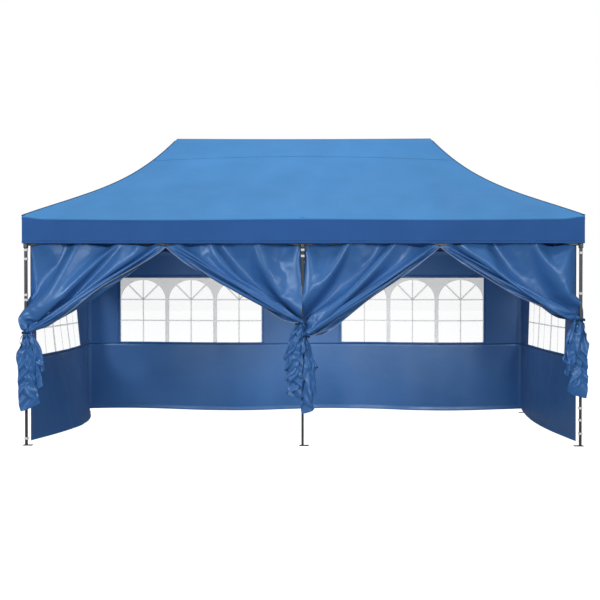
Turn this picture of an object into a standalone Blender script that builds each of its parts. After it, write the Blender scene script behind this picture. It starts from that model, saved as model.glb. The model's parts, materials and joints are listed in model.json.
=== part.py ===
"""Pop up canopy, 3 x 6 m: six telescopic legs, scissor trusses, two peak poles, a roof and six side walls.

Blender script in metres, +Z up. +X runs along the long side, -Y is the front with the two door walls,
and the origin is on the ground under the middle of the roof.

The frame folds about one variable, the tilt of every truss bar. A truss spans from one leg to the next
as two scissor units. Its bars are numbered from the leg at its start: bar 1 falls from the first leg's
top bracket, bar 2 rises from the first leg's slider, bar 3 rises to the second leg's top bracket and
bar 4 falls to the second leg's slider.
"""

import math

import bmesh
import bpy
from mathutils import Matrix, Vector

# Plan and heights
LEG_X = 2.95  # outer legs' centres, either side of the middle legs
LEG_Y = 1.475  # front and back legs' centres
TRUSS_TOP_Z = 2.40  # height of every upper truss joint
TRUSS_DEPTH = 0.26  # upper truss joint to lower truss joint, standing open
LEG_TOP_Z = 2.43
RIDGE_Z = 3.473
EAVE_Z = 2.425
CORNER_Z = 2.45
VALANCE_BOTTOM_Z = 2.154

# Scissor bars
PIVOT_OUT = 0.040  # leg or pole centre to the first pivot
HUB_PIVOT_OUT = 0.045
UNIT = (LEG_X - 2 * PIVOT_OUT) / 2  # width of one scissor unit
BAR_LENGTH = math.hypot(UNIT, TRUSS_DEPTH)  # pivot to pivot
REST_TILT = math.atan2(TRUSS_DEPTH, UNIT)
BAR_END = 0.010  # past the end pivots
BAR_HEIGHT = 0.020
LAP_NEAR = 0.001  # a bar lies between these distances from its truss's middle plane
LAP_FAR = 0.008
PIN_RADIUS = 0.004
HOLE_RADIUS = 0.0044
HEAD_RADIUS = 0.0075
HEAD_GAP = 0.0005
HEAD_THICKNESS = 0.003
PIN_SIDES = 8

# Legs
OUTER_TUBE = 0.030
OUTER_BORE = 0.0274
OUTER_BOTTOM_Z = 0.86
INNER_TUBE = 0.025
INNER_BORE = 0.0226
INNER_TOP_Z = 1.25
BRACKET = 0.042  # square block around a leg
BRACKET_HEIGHT = 0.060
LEG_CAP = 0.008
SLIDER_HEIGHT = 0.070
SLIDER_BORE = 0.031
FOOT_LENGTH = 0.100
FOOT_WIDTH = 0.062
FOOT_THICKNESS = 0.005
FOOT_SHIFT = 0.016  # the plate reaches further on the stake hole's side
STAKE_HOLE_RADIUS = 0.005
STAKE_HOLE_OUT = 0.050

# Centre hub and peak poles
PEAK_X = HUB_PIVOT_OUT + UNIT + PIVOT_OUT
POLE_RADIUS = 0.0125
POLE_BORE_RADIUS = 0.0105
POLE_TOP_Z = 3.448
POLE_BOTTOM_DROP = 0.045  # pole's end below the lower truss joint
HUB_CHEEK_NEAR = 0.010
HUB_CHEEK_FAR = 0.020

# Fabric
CLOTH = 0.001
ROOF_HALF_X = 2.985
ROOF_HALF_Y = 1.510
WALL_INSET = 0.036  # wall plane inside the leg centres
WALL_TOP_Z = 2.165
WALL_BOTTOM_Z = 0.045
WALL_END_GAP = 0.024  # from a middle leg's centre plane to the wall's edge
CORNER_GAP = 0.012  # between two walls' edges in a corner
WALL_BULGE = {"left_wall": 0.27, "right_wall": 0.11}  # at the hem, inwards, halfway along
DOOR_CLOTH = 0.003
DOOR_APEX_Z = 2.085
DOOR_SAG = 0.065  # of the free edge, below a straight line from apex to tie
# Each door half is tied to a leg at "tie" and hangs from there as a tail down to "tail".
DOORS = {
    "front_left_door_wall": {
        "side": -1,
        "outer": {"tie": 1.19, "tail": 0.34, "inwards": 0.19, "outwards": 0.13},
        "inner": {"tie": 1.28, "tail": 0.50, "inwards": 0.16, "outwards": 0},
    },
    "front_right_door_wall": {
        "side": 1,
        "outer": {"tie": 1.33, "tail": 0.50, "inwards": 0.13, "outwards": 0.13},
        "inner": {"tie": 1.15, "tail": 0.29, "inwards": 0.12, "outwards": 0},
    },
}

STEEL = ((0.055, 0.058, 0.062), 0.45, 0.6)
BAR_PAINT = ((0.085, 0.088, 0.092), 0.5, 0.6)
PLASTIC = ((0.03, 0.03, 0.032), 0.55, 0.0)
ROOF_BLUE = ((0.085, 0.285, 0.585), 0.75, 0.0)
WALL_BLUE = ((0.05, 0.16, 0.37), 0.75, 0.0)


def clear_scene():
    for obj in list(bpy.data.objects):
        bpy.data.objects.remove(obj, do_unlink=True)


def material(name, look):
    colour, roughness, metallic = look
    made = bpy.data.materials.new(name)
    made.use_nodes = True
    shader = made.node_tree.nodes["Principled BSDF"]
    shader.inputs["Base Color"].default_value = (*colour, 1)
    shader.inputs["Roughness"].default_value = roughness
    shader.inputs["Metallic"].default_value = metallic
    return made


def mesh_object(name, bm):
    bmesh.ops.recalc_face_normals(bm, faces=bm.faces)
    mesh = bpy.data.meshes.new(name)
    bm.to_mesh(mesh)
    bm.free()
    obj = bpy.data.objects.new(name, mesh)
    bpy.context.scene.collection.objects.link(obj)
    return obj


def block(low, high):
    """A box between two corners."""
    bm = bmesh.new()
    bmesh.ops.create_cube(bm, size=1)
    size = Vector(high) - Vector(low)
    middle = (Vector(high) + Vector(low)) / 2
    bmesh.ops.transform(bm, matrix=Matrix.Translation(middle) @ Matrix.Diagonal((*size, 1)), verts=bm.verts)
    return mesh_object("block", bm)


def rod(start, end, radius, sides=PIN_SIDES):
    """A cylinder between two points."""
    start, end = Vector(start), Vector(end)
    bm = bmesh.new()
    bmesh.ops.create_cone(
        bm, cap_ends=True, segments=sides, radius1=radius, radius2=radius, depth=(end - start).length
    )
    turn = Vector((0, 0, 1)).rotation_difference(end - start).to_matrix().to_4x4()
    bmesh.ops.transform(bm, matrix=Matrix.Translation((start + end) / 2) @ turn, verts=bm.verts)
    return mesh_object("rod", bm)


def carved(name, solids, cuts=()):
    """The union of the solids with the cuts taken away, as one object with its modifiers applied."""
    whole = solids[0]
    whole.name = name
    for operation, tools in (("UNION", solids[1:]), ("DIFFERENCE", cuts)):
        for tool in tools:
            modifier = whole.modifiers.new(operation.lower(), "BOOLEAN")
            modifier.operation = operation
            modifier.object = tool
    graph = bpy.context.evaluated_depsgraph_get()
    mesh = bpy.data.meshes.new_from_object(whole.evaluated_get(graph))
    whole.modifiers.clear()
    whole.data = mesh
    mesh.name = name
    for tool in (*solids[1:], *cuts):
        bpy.data.objects.remove(tool, do_unlink=True)
    return whole


def turned(shape, heading):
    """The shape turned about the vertical axis, so that its +X points along the heading."""
    shape.data.transform(Matrix.Rotation(heading, 4, "Z"))
    return shape


def paint(obj, look):
    obj.data.materials.clear()
    obj.data.materials.append(look)
    return obj


# Truss bars


def pin(x, z, side, root, far):
    """A pin along Y through the bar on this side, with a head past it."""
    shaft = rod((x, side * root, z), (x, side * (far + HEAD_GAP + HEAD_THICKNESS / 2), z), PIN_RADIUS)
    head = rod(
        (x, side * (far + HEAD_GAP), z), (x, side * (far + HEAD_GAP + HEAD_THICKNESS), z), HEAD_RADIUS
    )
    return [shaft, head]


def hole(x, z, low_y, high_y):
    return rod((x, low_y, z), (x, high_y, z), HOLE_RADIUS)


def bar_mesh(name, side, rivets, holes):
    """A flat bar along X, on one side of its truss's middle plane. Rivets and holes are places along it."""
    half = BAR_LENGTH / 2 + BAR_END
    near, far = sorted((side * LAP_NEAR, side * LAP_FAR))
    solids = [block((-half, near, -BAR_HEIGHT / 2), (half, far, BAR_HEIGHT / 2))]
    for x, reach in rivets:
        solids += pin(x, 0, -side, -LAP_NEAR - 0.004, reach)
    cuts = [hole(x, 0, near - 0.01, far + 0.01) for x in holes]
    shape = carved(name, solids, cuts)
    mesh = shape.data
    bpy.data.objects.remove(shape)
    return mesh


def put_bar(name, mesh, origin, heading, along, tilt, look, flipped=False):
    """A bar whose middle is this far along the truss, halfway between the upper and lower joints."""
    bar = bpy.data.objects.new(name, mesh)
    bpy.context.scene.collection.objects.link(bar)
    spin = Matrix.Rotation(tilt + (math.pi if flipped else 0), 4, "Y")
    place = Matrix.Translation((*origin, TRUSS_TOP_Z - TRUSS_DEPTH / 2))
    ahead = Matrix.Translation((along, 0, 0))
    bar.matrix_world = place @ Matrix.Rotation(heading, 4, "Z") @ ahead @ spin
    if not mesh.materials:
        mesh.materials.append(look)
    return bar


def build_bars(look):
    end = BAR_LENGTH / 2
    riveted = bar_mesh("riveted_bar", -1, [(0, LAP_FAR), (end, LAP_FAR)], [-end])
    hub_bar = bar_mesh("hub_bar", -1, [(0, LAP_FAR), (end, HUB_CHEEK_FAR)], [-end])
    plain = bar_mesh("plain_bar", 1, [], [-end, 0, end])
    trusses = {
        "middle_truss": ((0, LEG_Y), -math.pi / 2),
        "back_left_truss": ((0, LEG_Y), math.pi),
        "back_right_truss": ((0, LEG_Y), 0),
        "front_left_truss": ((0, -LEG_Y), math.pi),
        "front_right_truss": ((0, -LEG_Y), 0),
        "left_truss": ((-LEG_X, LEG_Y), -math.pi / 2),
        "right_truss": ((LEG_X, LEG_Y), -math.pi / 2),
    }
    first, second = PIVOT_OUT + UNIT / 2, PIVOT_OUT + 3 * UNIT / 2
    for name, (origin, heading) in trusses.items():
        falling = hub_bar if name == "middle_truss" else riveted
        put_bar(f"{name}_bar_1", falling, origin, heading, first, REST_TILT, look)
        put_bar(f"{name}_bar_2", plain, origin, heading, first, -REST_TILT, look)
        put_bar(f"{name}_bar_3", plain, origin, heading, second, -REST_TILT, look)
        put_bar(f"{name}_bar_4", riveted, origin, heading, second, REST_TILT, look, flipped=True)
    for name, heading in (("left_ridge_truss", math.pi), ("right_ridge_truss", 0)):
        along = HUB_PIVOT_OUT + UNIT / 2
        put_bar(f"{name}_bar_1", plain, (0, 0), heading, along, -REST_TILT, look)
        put_bar(f"{name}_bar_2", riveted, (0, 0), heading, along, REST_TILT, look, flipped=True)


# Legs, sliders, hub and poles


def ear(heading, side, z, pivot_out, root=0.012):
    """A lug and its pin, pointing along the heading. The bar laps it on the other side."""
    near, far = sorted((side * LAP_NEAR, side * LAP_FAR))
    half = BAR_HEIGHT / 2
    lug = block((root, near, z - half), (pivot_out + BAR_END, far, z + half))
    pieces = [lug, *pin(pivot_out, z, -side, -LAP_NEAR - 0.004, LAP_FAR)]
    return [turned(piece, heading) for piece in pieces]


def place(obj, x, y, look):
    obj.location = (x, y, 0)
    return paint(obj, look)


def upper_leg(name, x, y, headings, look):
    half, bore, cap = OUTER_TUBE / 2, OUTER_BORE / 2, BRACKET / 2
    bracket_low = LEG_TOP_Z - BRACKET_HEIGHT
    solids = [
        block((-half, -half, OUTER_BOTTOM_Z), (half, half, LEG_TOP_Z - 0.005)),
        block((-cap, -cap, bracket_low), (cap, cap, LEG_TOP_Z)),
    ]
    for heading in headings:
        solids += ear(heading, 1, TRUSS_TOP_Z, PIVOT_OUT)
    cuts = [block((-bore, -bore, OUTER_BOTTOM_Z - 0.01), (bore, bore, LEG_TOP_Z - LEG_CAP))]
    place(carved(name, solids, cuts), x, y, look)


def slider(name, x, y, headings, look):
    half, bore = BRACKET / 2, SLIDER_BORE / 2
    middle = TRUSS_TOP_Z - TRUSS_DEPTH
    low, high = middle - SLIDER_HEIGHT / 2, middle + SLIDER_HEIGHT / 2
    solids = [block((-half, -half, low), (half, half, high))]
    for heading in headings:
        solids += ear(heading, -1, middle, PIVOT_OUT, root=0.018)
    cuts = [block((-bore, -bore, low - 0.01), (bore, bore, high + 0.01))]
    place(carved(name, solids, cuts), x, y, look)


def lower_leg(name, x, y, plate_side, look):
    half, bore = INNER_TUBE / 2, INNER_BORE / 2
    middle = plate_side * FOOT_SHIFT
    solids = [
        block((-half, -half, 0.002), (half, half, INNER_TOP_Z)),
        block(
            (middle - FOOT_LENGTH / 2, -FOOT_WIDTH / 2, 0),
            (middle + FOOT_LENGTH / 2, FOOT_WIDTH / 2, FOOT_THICKNESS),
        ),
    ]
    stake = plate_side * STAKE_HOLE_OUT
    cuts = [
        block((-bore, -bore, FOOT_THICKNESS), (bore, bore, INNER_TOP_Z + 0.01)),
        rod((stake, 0, -0.01), (stake, 0, 0.02), STAKE_HOLE_RADIUS, 24),
    ]
    place(carved(name, solids, cuts), x, y, look)


def build_legs(steel, plastic):
    left, right, front, back = math.pi, 0, -math.pi / 2, math.pi / 2
    legs = {
        "back_middle": (0, LEG_Y, (left, right, front), 1),
        "back_left": (-LEG_X, LEG_Y, (right, front), 1),
        "back_right": (LEG_X, LEG_Y, (left, front), -1),
        "front_middle": (0, -LEG_Y, (left, right, back), 1),
        "front_left": (-LEG_X, -LEG_Y, (right, back), 1),
        "front_right": (LEG_X, -LEG_Y, (left, back), -1),
    }
    for name, (x, y, headings, plate_side) in legs.items():
        upper_leg(f"{name}_upper_leg", x, y, headings, steel)
        lower_leg(f"{name}_lower_leg", x, y, plate_side, steel)
        slider(f"{name}_slider", x, y, headings, plastic)


def centre_hub(look):
    """A block hung on the middle truss's lower joint, with a lug to each side for the ridge trusses."""
    joint = TRUSS_TOP_Z - TRUSS_DEPTH
    cheek = block((HUB_CHEEK_NEAR, -0.012, joint - 0.040), (HUB_CHEEK_FAR, 0.012, joint + 0.013))
    base = block((-0.030, -0.015, joint - 0.055), (0.030, 0.015, joint - 0.020))
    solids = [base, cheek]
    for heading in (0, math.pi):
        near, far = -LAP_FAR, -LAP_NEAR
        arm = block((0.020, near, joint - 0.050), (HUB_PIVOT_OUT + BAR_END, far, joint - 0.022))
        post = block(
            (HUB_PIVOT_OUT - 0.011, near, joint - 0.045), (HUB_PIVOT_OUT + BAR_END, far, joint + 0.011)
        )
        lug = [arm, post, *pin(HUB_PIVOT_OUT, joint, 1, -LAP_NEAR - 0.004, LAP_FAR)]
        solids += [turned(piece, heading) for piece in lug]
    bore = rod((0, 0, joint), (0.03, 0, joint), HOLE_RADIUS)
    paint(carved("centre_hub", solids, [bore]), look)


def peak_pole(name, side, look):
    joint = TRUSS_TOP_Z - TRUSS_DEPTH
    heading = math.pi if side > 0 else 0
    shaft_top = POLE_TOP_Z - POLE_RADIUS
    dome = bmesh.new()
    bmesh.ops.create_uvsphere(dome, u_segments=12, v_segments=6, radius=POLE_RADIUS)
    bmesh.ops.transform(dome, matrix=Matrix.Translation((0, 0, shaft_top)), verts=dome.verts)
    solids = [
        rod((0, 0, joint - POLE_BOTTOM_DROP), (0, 0, shaft_top), POLE_RADIUS, 12),
        mesh_object("dome", dome),
        block((-0.020, -0.020, joint - 0.035), (0.020, 0.020, joint + 0.035)),
        *ear(heading, -1, joint, PIVOT_OUT),
    ]
    bore = rod((0, 0, joint - POLE_BOTTOM_DROP - 0.01), (0, 0, shaft_top - 0.01), POLE_BORE_RADIUS, 12)
    place(carved(name, solids, [bore]), side * PEAK_X, 0, look)


# Fabric


def hip_sag(t):
    """How far the roof hangs below a straight line from ridge (0) to eave (1), along a hip."""
    return t * (1 - t) * (0.90 - 0.65 * t)


def roof_point(u, v, t, drop):
    """A point of the roof. u and v run -1 to 1 along X and Y on the eave, t runs from ridge to eave."""
    corner = max(0, 1 - 12 * (1 - min(abs(u), abs(v))))
    eave_z = EAVE_Z + (CORNER_Z - EAVE_Z) * corner
    x = u * (PEAK_X + (ROOF_HALF_X - PEAK_X) * t)
    y = v * ROOF_HALF_Y * t
    middle = min(abs(u), abs(v))
    sag = hip_sag(t) * (0.55 + 0.45 * middle**2)
    return Vector((x, y, RIDGE_Z + (eave_z - RIDGE_Z) * t - sag - drop))


def eave_loop():
    """(u, v) once round the eave."""
    us = [-1, -0.92, -0.6, -0.3, 0, 0.3, 0.6, 0.92]
    vs = [-1, -0.92, -0.5, 0, 0.5, 0.92]
    loop = [(u, -1) for u in us]
    loop += [(1, v) for v in vs]
    loop += [(-u, 1) for u in us]
    loop += [(-1, -v) for v in vs]
    return loop


def roof_skin(bm, inward):
    """One side of the roof as open faces: rings from the valance's hem up to the ridge."""
    loop = eave_loop()

    def drawn_in(u, v, point):
        inside = Vector((u if abs(u) == 1 else 0, v if abs(v) == 1 else 0, 0))
        return point - inward * inside

    rings = []
    for z in (VALANCE_BOTTOM_Z, EAVE_Z - 0.015):
        ring = [drawn_in(u, v, roof_point(u, v, 1, 0)) for u, v in loop]
        rings.append([bm.verts.new((point.x, point.y, z)) for point in ring])
    rings.append([bm.verts.new(drawn_in(u, v, roof_point(u, v, 1, inward))) for u, v in loop])
    for t in (0.75, 0.5, 0.25, 0.1):
        rings.append([bm.verts.new(roof_point(u, v, t, inward)) for u, v in loop])
    along = [u if abs(v) == 1 else math.copysign(1, u) for u, v in loop]
    ridge = {u: bm.verts.new(roof_point(u, 0, 0, 1.4 * inward)) for u in sorted(set(along))}
    rings.append([ridge[u] for u in along])
    count = len(loop)
    for low, high in zip(rings, rings[1:]):
        for i in range(count):
            j = (i + 1) % count
            corners = [low[i], low[j], high[j], high[i]]
            face = [c for k, c in enumerate(corners) if c not in corners[:k]]
            bm.faces.new(face)
    return rings[0]


def roof_cover(look):
    bm = bmesh.new()
    outer = roof_skin(bm, 0)
    inner = roof_skin(bm, CLOTH)
    count = len(outer)
    for i in range(count):
        j = (i + 1) % count
        bm.faces.new([outer[j], outer[i], inner[i], inner[j]])
    paint(mesh_object("roof_cover", bm), look)


def panel(name, surface, columns, rows, thickness, look):
    """A closed sheet whose middle plane is surface(u, v) with its normal, u and v from 0 to 1."""
    bm = bmesh.new()
    sides = []
    for offset in (-thickness / 2, thickness / 2):
        grid = []
        for i in range(columns + 1):
            column = []
            for j in range(rows + 1):
                point, normal = surface(i / columns, j / rows)
                column.append(bm.verts.new(point + normal * offset))
            grid.append(column)
        sides.append(grid)
    for grid in sides:
        for i in range(columns):
            for j in range(rows):
                bm.faces.new([grid[i][j], grid[i + 1][j], grid[i + 1][j + 1], grid[i][j + 1]])
    edge = [(i, 0) for i in range(columns)] + [(columns, j) for j in range(rows)]
    edge += [(i, rows) for i in range(columns, 0, -1)] + [(0, j) for j in range(rows, 0, -1)]
    for (i, j), (k, m) in zip(edge, edge[1:] + edge[:1]):
        bm.faces.new([sides[0][i][j], sides[0][k][m], sides[1][k][m], sides[1][i][j]])
    return paint(mesh_object(name, bm), look)


def back_wall(name, side, look):
    start, end = side * WALL_END_GAP, side * (LEG_X - WALL_INSET - CORNER_GAP)
    height = WALL_TOP_Z - WALL_BOTTOM_Z

    def surface(u, v):
        point = Vector((start + (end - start) * u, LEG_Y - WALL_INSET, WALL_BOTTOM_Z + height * v))
        return point, Vector((0, 1, 0))

    panel(name, surface, 1, 1, CLOTH, look)


def side_wall(name, side, look):
    """Hangs straight at the top and bellies inwards at the hem."""
    span = LEG_Y - WALL_INSET - 0.004
    bulge = WALL_BULGE[name]

    def surface(u, v):
        y = -span + 2 * span * u
        belly = bulge * math.sin(math.pi * u) * (1 - v) ** 1.5
        z = WALL_BOTTOM_Z + (WALL_TOP_Z - WALL_BOTTOM_Z) * v
        return Vector((side * (LEG_X - WALL_INSET - belly), y, z)), Vector((side, 0, 0))

    panel(name, surface, 8, 4, CLOTH, look)


def door_outline(door):
    """The door wall's outline in X and Z: a strip along the top over two halves tied back to the legs."""
    side = door["side"]
    near, far = side * WALL_END_GAP, side * (LEG_X - WALL_INSET - CORNER_GAP)
    apex_x = (near + far) / 2
    halves = []
    for leg_x, inwards, half in ((near, side, door["inner"]), (far, -side, door["outer"])):
        edge_in = leg_x + inwards * half["inwards"]
        edge_out = leg_x - inwards * half["outwards"]
        tie_x = leg_x + inwards * 0.07
        line = [(edge_out, half["tail"] + 0.25), (leg_x, half["tail"]), (edge_in, half["tail"] + 0.09)]
        for step in range(5):
            s = step / 4
            sag = DOOR_SAG * math.sin(math.pi * s)
            line.append((tie_x + (apex_x - tie_x) * s, half["tie"] + (DOOR_APEX_Z - half["tie"]) * s - sag))
        if not half["outwards"]:
            line = line[1:]
        halves.append([(leg_x, half["tie"] - 0.02), *line])
    top = [(far, WALL_TOP_Z), (near, WALL_TOP_Z)]
    return halves[0] + halves[1][-2::-1] + top


def door_wall(name, door, look):
    y = -LEG_Y + WALL_INSET
    bm = bmesh.new()
    face = bm.faces.new([bm.verts.new((x, y, z)) for x, z in door_outline(door)])
    grown = bmesh.ops.extrude_face_region(bm, geom=[face])
    moved = [item for item in grown["geom"] if isinstance(item, bmesh.types.BMVert)]
    bmesh.ops.translate(bm, verts=moved, vec=(0, DOOR_CLOTH, 0))
    bmesh.ops.triangulate(bm, faces=bm.faces)
    paint(mesh_object(name, bm), look)


def build_fabric(roof_look, wall_look):
    roof_cover(roof_look)
    for word, side in (("left", -1), ("right", 1)):
        back_wall(f"back_{word}_wall", side, wall_look)
        side_wall(f"{word}_wall", side, wall_look)
    for name, door in DOORS.items():
        door_wall(name, door, wall_look)


def main():
    clear_scene()
    steel = material("leg_steel", STEEL)
    paint_look = material("bar_paint", BAR_PAINT)
    plastic = material("bracket_plastic", PLASTIC)
    roof_look = material("roof_polyester", ROOF_BLUE)
    wall_look = material("wall_polyester", WALL_BLUE)
    build_bars(paint_look)
    build_legs(steel, plastic)
    centre_hub(plastic)
    for name, side in (("left_peak_pole", -1), ("right_peak_pole", 1)):
        peak_pole(name, side, steel)
    build_fabric(roof_look, wall_look)


main()
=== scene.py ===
"""Pop up canopy: cloth, windows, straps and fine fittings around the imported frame.

The CAD frame stays as it is and gets its finishes. The roof, the four window walls and the two door
walls are made here as cloth. The door halves are simulated: they hang from the truss, and a slanting
line across each half is drawn together at its tie.
"""

import json
import math

import bmesh
import bpy
from mathutils import Matrix, Vector, noise

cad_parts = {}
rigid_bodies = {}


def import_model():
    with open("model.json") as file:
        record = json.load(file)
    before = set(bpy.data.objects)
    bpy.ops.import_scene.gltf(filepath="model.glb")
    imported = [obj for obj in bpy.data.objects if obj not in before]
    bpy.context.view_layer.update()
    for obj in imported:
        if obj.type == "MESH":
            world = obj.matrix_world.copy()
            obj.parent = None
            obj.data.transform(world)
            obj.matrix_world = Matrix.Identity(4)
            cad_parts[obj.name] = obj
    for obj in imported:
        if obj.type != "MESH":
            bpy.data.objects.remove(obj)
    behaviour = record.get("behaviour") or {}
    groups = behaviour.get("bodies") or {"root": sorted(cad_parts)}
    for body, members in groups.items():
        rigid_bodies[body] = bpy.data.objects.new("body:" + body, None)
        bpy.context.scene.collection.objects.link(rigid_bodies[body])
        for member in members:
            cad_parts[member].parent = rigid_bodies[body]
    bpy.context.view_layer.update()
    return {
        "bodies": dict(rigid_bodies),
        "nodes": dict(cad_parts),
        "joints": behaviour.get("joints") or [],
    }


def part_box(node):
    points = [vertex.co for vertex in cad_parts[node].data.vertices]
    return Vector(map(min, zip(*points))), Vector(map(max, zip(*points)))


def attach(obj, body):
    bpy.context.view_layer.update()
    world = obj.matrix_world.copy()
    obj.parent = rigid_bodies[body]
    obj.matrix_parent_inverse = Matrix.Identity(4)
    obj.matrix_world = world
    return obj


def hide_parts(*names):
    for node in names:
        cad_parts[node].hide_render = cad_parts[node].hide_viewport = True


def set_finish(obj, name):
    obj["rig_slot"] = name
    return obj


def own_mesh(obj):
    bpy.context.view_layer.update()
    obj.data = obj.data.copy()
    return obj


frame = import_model()

# ---- places read from the frame


def leg_axis(leg):
    """X and Y of a leg's centre line, from the lowest ring of its outer tube."""
    points = [v.co for v in frame["nodes"][f"{leg}_upper_leg"].data.vertices]
    bottom = min(p.z for p in points)
    ring = [p for p in points if p.z < bottom + 0.001]
    return Vector((sum(p.x for p in ring) / len(ring), sum(p.y for p in ring) / len(ring), 0))


LEGS = ("front_left", "front_middle", "front_right", "back_left", "back_middle", "back_right")
AXIS = {leg: leg_axis(leg) for leg in LEGS}
LEG_X = AXIS["front_right"].x
LEG_Y = AXIS["back_middle"].y
ROOF_LOW, ROOF_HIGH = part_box("roof_cover")
WALL_LOW, WALL_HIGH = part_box("back_right_wall")
SLIDER_LOW, SLIDER_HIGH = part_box("front_middle_slider")
POLE_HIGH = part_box("right_peak_pole")[1]
TUBE_END_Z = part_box("front_middle_upper_leg")[0].z
TUBE = 0.030  # outer leg tube
PEAK_X = POLE_HIGH.x - 0.020  # the pole's bracket reaches 20 mm past its centre
ROOF_RISE = 1.048  # eave to ridge
EAVE_Z = ROOF_HIGH.z - ROOF_RISE
CORNER_Z = EAVE_Z + 0.025  # the eave turns up at the corner legs
HALF_CLOTH = 0.0005  # the sheets lie in the middle of the solid walls
WALL_Y = WALL_LOW.y + HALF_CLOTH
WALL_X = abs(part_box("left_wall")[0].x + HALF_CLOTH)
WALL_TOP, WALL_BOTTOM = WALL_HIGH.z, WALL_LOW.z
WALL_HEIGHT = WALL_TOP - WALL_BOTTOM
TRUSS_LOW_Z = (SLIDER_LOW.z + SLIDER_HIGH.z) / 2
TRUSS_DEPTH = 0.26  # upper to lower truss joint
PIVOT_OUT = 0.040  # from a leg's centre line to the pivots beside it
BULGE = {"left_wall": 0.27, "right_wall": 0.11}  # the walls' hems belly inwards as their solids do

# Windows: three arches each, as a clear film with a pale printed lattice
WINDOW_WIDTH = 1.90
WINDOW_LOW_Z = 0.950
WINDOW_HIGH_Z = 1.810
SPRING_Z = 1.519
ARCH_HALF = 0.295
ARCH_RISE = 0.262
POST = 0.054
RAIL_Z = 1.238
MUNTIN = 0.018
WINDOW_CENTRE = {"back_left_wall": -1.52, "back_right_wall": 1.45, "left_wall": -0.30, "right_wall": -0.04}
BORDER = 0.028  # the doubled cloth round a window
HEM = 0.03
SEAM_Z = 0.925
DOUBLED = 0.0011  # how far doubled cloth stands out
STEP = 0.0012  # half the width of the slope at its edge
SEAM_GROOVE = 0.0012
CORNER = 0.0115  # the cloth closes most of the gap that the solids keep at each back corner

BLUE_ROOF = (0.056, 0.231, 0.520)
# The walls are the roof's cloth. Their blue is made darker than the roof's as painted shade, for walls that
# stand under the roof.
SHADED_WALL_BLUE = (0.046, 0.160, 0.430)
# The valance is the roof's cloth, but its blue is darker: painted shade for a sheet that hangs upright, out
# of the light from above.
SHADED_VALANCE_BLUE = (0.030, 0.113, 0.350)


# ---- materials


def new_material(name):
    made = bpy.data.materials.new(name)
    made.use_nodes = True
    tree = made.node_tree
    return made, tree, tree.nodes["Principled BSDF"]


def plug(tree, node, values):
    """Sets a node's inputs. One that is given another node's output is linked to it."""
    for key, value in values.items():
        if isinstance(value, bpy.types.NodeSocket):
            tree.links.new(value, node.inputs[key])
        else:
            node.inputs[key].default_value = value


def add(tree, kind, **values):
    """A new node, with its inputs and settings."""
    node = tree.nodes.new(kind)
    for key, value in values.items():
        if key in node.inputs:
            plug(tree, node, {key: value})
        else:
            setattr(node, key, value)
    return node


def object_coords(tree):
    return add(tree, "ShaderNodeTexCoord").outputs["Object"]


def noise_over(tree, coords, **values):
    return add(tree, "ShaderNodeTexNoise", Vector=coords, **values).outputs["Fac"]


def ramp(tree, source, low, high, at=(0.3, 0.7)):
    node = tree.nodes.new("ShaderNodeValToRGB")
    node.color_ramp.elements[0].position, node.color_ramp.elements[1].position = at
    node.color_ramp.elements[0].color = (*low, 1)
    node.color_ramp.elements[1].color = (*high, 1)
    tree.links.new(source, node.inputs["Fac"])
    return node.outputs["Color"]


def bumped(tree, height, strength, distance, **under):
    """A bump's normal, laid over another one if Normal is given."""
    bump = add(tree, "ShaderNodeBump", Strength=strength, Distance=distance, Height=height, **under)
    return bump.outputs["Normal"]


def grey(value):
    return (value, value, value)


def shade(colour, factor):
    return tuple(min(1, c * factor) for c in colour)


def weave_height(tree, coords, pitch):
    """Threads in all three row directions, so the weave runs along any wall."""
    total = None
    for axis in ("X", "Y", "Z"):
        rows = add(
            tree, "ShaderNodeTexWave", wave_type="BANDS", bands_direction=axis,
            Scale=1 / (pitch * 3.2), Distortion=0.6, Detail=1, Vector=coords,
        ).outputs["Fac"]
        if total is None:
            total = rows
        else:
            both = add(tree, "ShaderNodeMath", operation="ADD")
            tree.links.new(total, both.inputs[0])
            tree.links.new(rows, both.inputs[1])
            total = both.outputs["Value"]
    return total


def polyester(name, colour, roughness, gloss_level):
    """Coated woven polyester: fine weave, soft creases, slightly uneven dye."""
    made, tree, shader = new_material(name)
    coords = object_coords(tree)
    cloudy = noise_over(tree, coords, Scale=1.7, Detail=3.0, Roughness=0.55)
    threads = noise_over(tree, coords, Scale=900.0, Detail=2.0, Roughness=0.7)
    mixed = add(tree, "ShaderNodeMix", data_type="RGBA", blend_type="MULTIPLY")
    plug(tree, mixed, {
        "Factor": 1,
        "A": ramp(tree, cloudy, shade(colour, 0.93), shade(colour, 1.06)),
        "B": ramp(tree, threads, grey(0.90), grey(1.08), (0.35, 0.65)),
    })
    gloss = noise_over(tree, coords, Scale=4.0, Detail=2.0)
    crease = noise_over(tree, coords, Scale=7.0, Detail=4.0, Roughness=0.45, Distortion=0.8)
    soft = bumped(tree, crease, 0.10, 0.02)
    plug(tree, shader, {
        "Base Color": mixed.outputs["Result"],
        "Roughness": ramp(tree, gloss, grey(roughness - 0.05), grey(roughness + 0.06)),
        "Normal": bumped(tree, weave_height(tree, coords, 0.0009), 0.12, 0.0004, Normal=soft),
        "Specular IOR Level": gloss_level,
        "Specular Tint": (0.66, 0.82, 1, 1),
        "Sheen Weight": 0.05,
        "Sheen Roughness": 0.4,
        "Sheen Tint": (0.75, 0.85, 1, 1),
    })
    return made


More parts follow.
